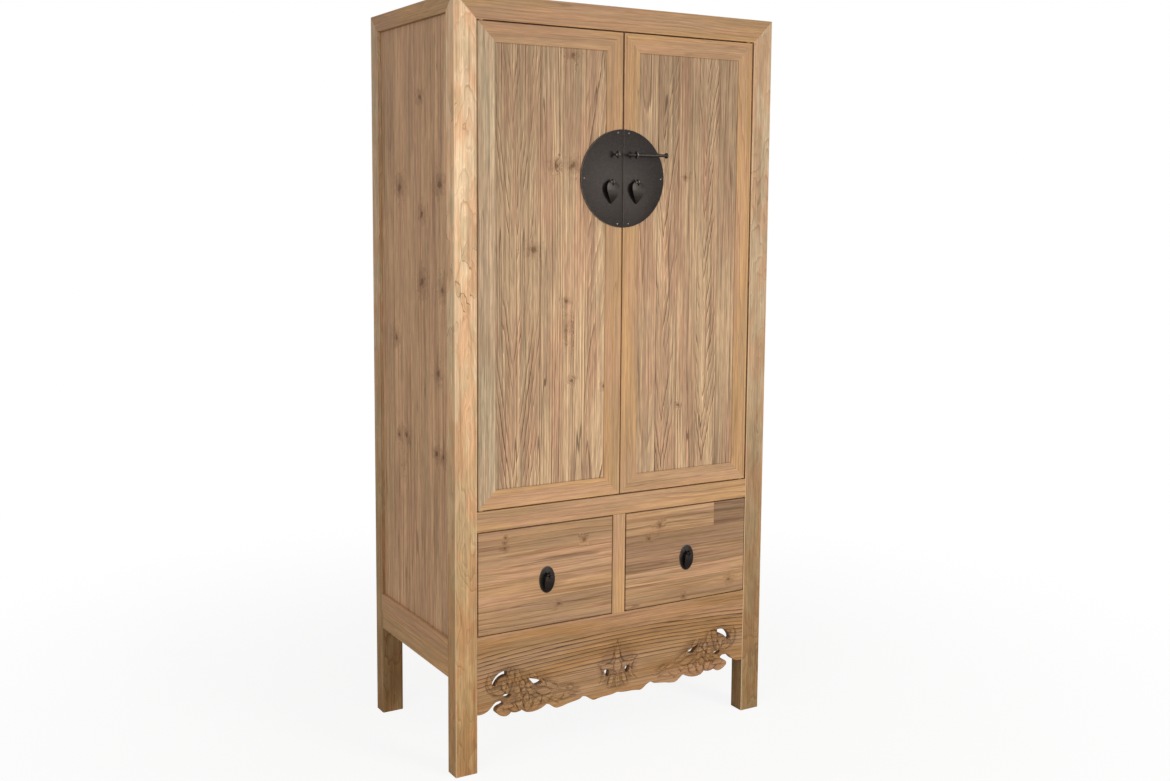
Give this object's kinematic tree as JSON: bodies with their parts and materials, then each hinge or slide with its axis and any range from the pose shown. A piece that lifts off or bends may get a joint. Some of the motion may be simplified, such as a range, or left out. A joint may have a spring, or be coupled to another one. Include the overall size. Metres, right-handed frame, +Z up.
{
  "type": "cupboard",
  "caption": "tall framed-and-boarded cupboard with hinged doors over drawers, square posts as legs, a pierced scalloped apron, a round lock plate with a sliding pin and hanging pulls",
  "frame": {"origin": "on the floor, in the middle of the whole piece with its hardware", "axes": "+X to the right seen from the front, front faces -Y, +Z up"},
  "size_m": [0.985, 0.5819, 2],
  "materials": {
    "elm_frame": "brushed reclaimed elm, clear waxed",
    "elm_boards": "brushed reclaimed boards, clear waxed",
    "elm_drawers": "brushed reclaimed boards, clear waxed",
    "elm_apron": "brushed and carved reclaimed elm, clear waxed",
    "inner_wood": "sanded softwood, unfinished",
    "dark_iron": "dark bronzed iron, oiled"
  },
  "bodies": {
    "carcass": {"front_left_post": "elm_frame", "front_right_post": "elm_frame", "back_left_post": "elm_frame", "back_right_post": "elm_frame", "front_top_rail": "elm_frame", "back_top_rail": "elm_frame", "left_top_rail": "elm_frame", "right_top_rail": "elm_frame", "top_boards": "elm_boards", "middle_rail": "elm_frame", "back_middle_rail": "inner_wood", "centre_stile": "elm_frame", "inner_bottom_rail": "inner_wood", "back_bottom_rail": "elm_frame", "left_bottom_rail": "elm_frame", "right_bottom_rail": "elm_frame", "left_side_boards": "elm_boards", "right_side_boards": "elm_boards", "left_side_apron": "elm_frame", "right_side_apron": "elm_frame", "carved_apron": "elm_apron", "cupboard_floor": "inner_wood", "back_boards": "inner_wood", "shelf": "inner_wood", "shelf_cleats": "inner_wood", "drawer_runners": "inner_wood"},
    "left_door": {"left_door_outer_stile": "elm_frame", "left_door_meeting_stile": "elm_frame", "left_door_top_rail": "elm_frame", "left_door_bottom_rail": "elm_frame", "left_door_boards": "elm_boards", "left_door_battens": "inner_wood", "left_lock_plate": "dark_iron", "left_plate_nails": "dark_iron", "left_door_eyes": "dark_iron"},
    "left_door_pull": {"left_door_pull": "dark_iron"},
    "left_drawer": {"left_drawer_front": "elm_drawers", "left_drawer_sides": "inner_wood", "left_drawer_back": "inner_wood", "left_drawer_bottom": "inner_wood", "left_drawer_plate": "dark_iron"},
    "left_drawer_pull": {"left_drawer_pull": "dark_iron"},
    "right_door": {"right_door_outer_stile": "elm_frame", "right_door_meeting_stile": "elm_frame", "right_door_top_rail": "elm_frame", "right_door_bottom_rail": "elm_frame", "right_door_boards": "elm_boards", "right_door_battens": "inner_wood", "right_lock_plate": "dark_iron", "right_plate_nails": "dark_iron", "right_door_eyes": "dark_iron"},
    "right_door_pull": {"right_door_pull": "dark_iron"},
    "right_drawer": {"right_drawer_front": "elm_drawers", "right_drawer_sides": "inner_wood", "right_drawer_back": "inner_wood", "right_drawer_bottom": "inner_wood", "right_drawer_plate": "dark_iron"},
    "right_drawer_pull": {"right_drawer_pull": "dark_iron"},
    "lock_pin": {"lock_pin": "dark_iron"}
  },
  "joints": [
    {"name": "left_door_hinge", "type": "hinge", "parent": "carcass", "child": "left_door", "pos_m": [-0.4155, -0.24705, 1.3], "axis": [0, 0, -1], "range_deg": [0, 100]},
    {"name": "left_door_pull_hinge", "type": "hinge", "parent": "left_door", "child": "left_door_pull", "pos_m": [-0.0395, -0.27305, 1.5439], "axis": [-1, 0, 0], "range_deg": [0, 75]},
    {"name": "left_drawer_slide", "type": "slide", "parent": "carcass", "child": "left_drawer", "axis": [0, -1, 0], "range_m": [0, 0.38]},
    {"name": "left_drawer_pull_hinge", "type": "hinge", "parent": "left_drawer", "child": "left_drawer_pull", "pos_m": [-0.22525, -0.27305, 0.5064], "axis": [-1, 0, 0], "range_deg": [0, 75]},
    {"name": "right_door_hinge", "type": "hinge", "parent": "carcass", "child": "right_door", "pos_m": [0.4155, -0.24705, 1.3], "axis": [0, 0, 1], "range_deg": [0, 100]},
    {"name": "right_door_pull_hinge", "type": "hinge", "parent": "right_door", "child": "right_door_pull", "pos_m": [0.0395, -0.27305, 1.5439], "axis": [-1, 0, 0], "range_deg": [0, 75]},
    {"name": "right_drawer_slide", "type": "slide", "parent": "carcass", "child": "right_drawer", "axis": [0, -1, 0], "range_m": [0, 0.38]},
    {"name": "right_drawer_pull_hinge", "type": "hinge", "parent": "right_drawer", "child": "right_drawer_pull", "pos_m": [0.22525, -0.27305, 0.5064], "axis": [-1, 0, 0], "range_deg": [0, 75]},
    {"name": "lock_pin_slide", "type": "slide", "parent": "right_door", "child": "lock_pin", "axis": [1, 0, 0], "range_m": [-0.0875, 0]}
  ]
}
